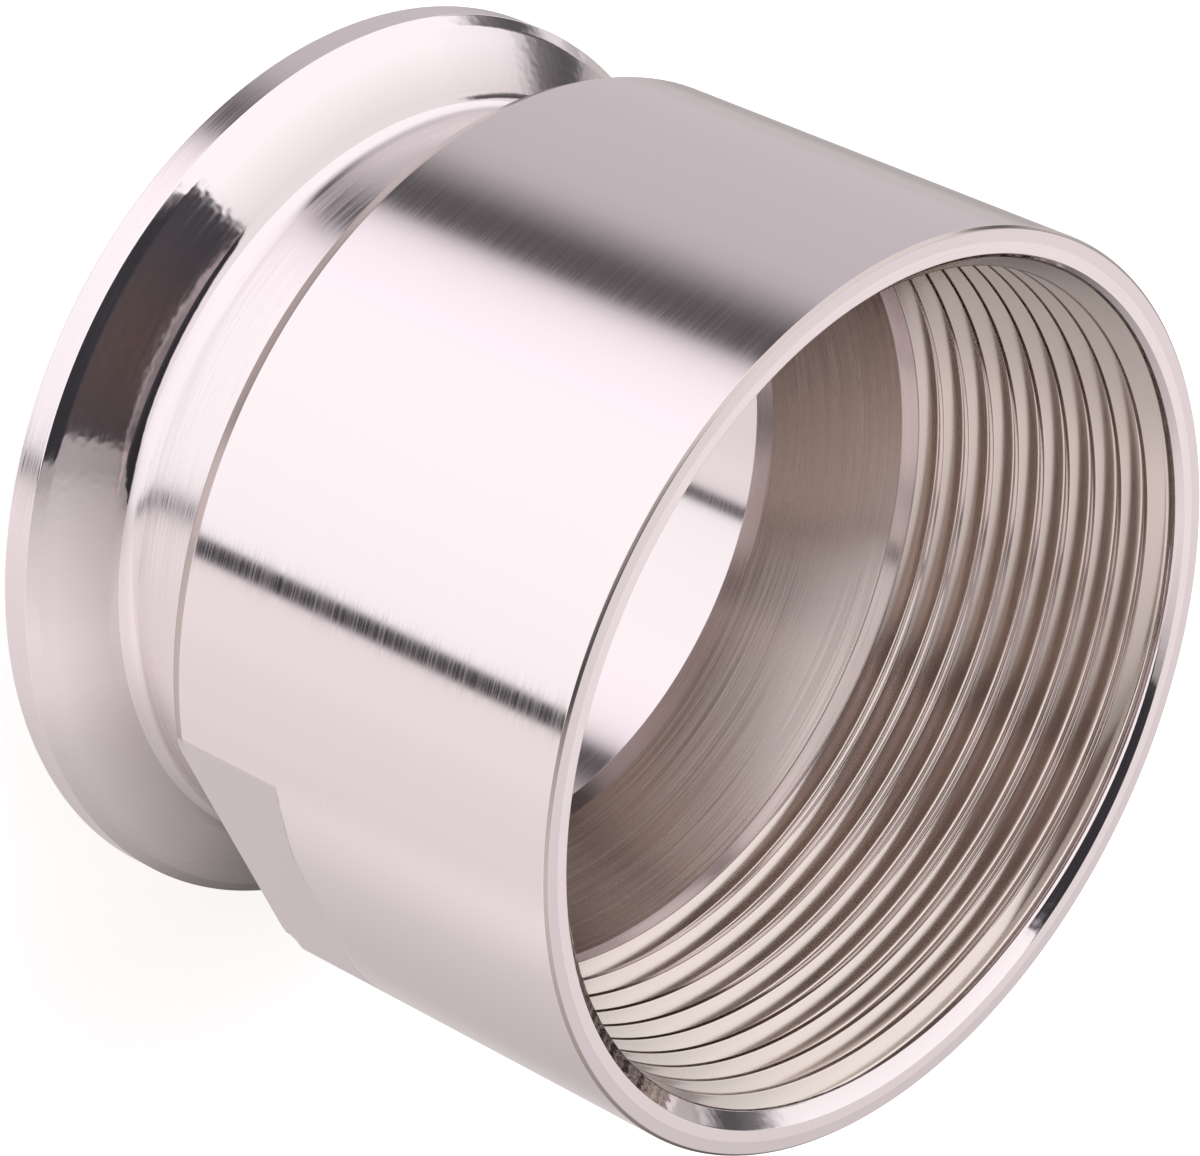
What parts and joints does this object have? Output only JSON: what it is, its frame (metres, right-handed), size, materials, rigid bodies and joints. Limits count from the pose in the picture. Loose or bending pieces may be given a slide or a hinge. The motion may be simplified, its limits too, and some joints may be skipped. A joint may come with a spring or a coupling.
{
  "type": "sanitary clamp threaded adapter",
  "caption": "Turned stainless adapter: clamp ferrule flange with gasket groove at one end, tapered female pipe thread at the other, opposite wrench flats on the body.",
  "frame": {"origin": "centre of the clamp sealing face, which is also the bottom centre of the part", "axes": "+Z along the turning axis from the clamp face to the threaded mouth; +X and -X are the normals of the two wrench flats"},
  "size_m": [0.064, 0.064, 0.0498],
  "materials": {
    "adapter": "turned and finely brushed"
  },
  "bodies": {
    "root": {"adapter": "adapter"}
  },
  "joints": []
}
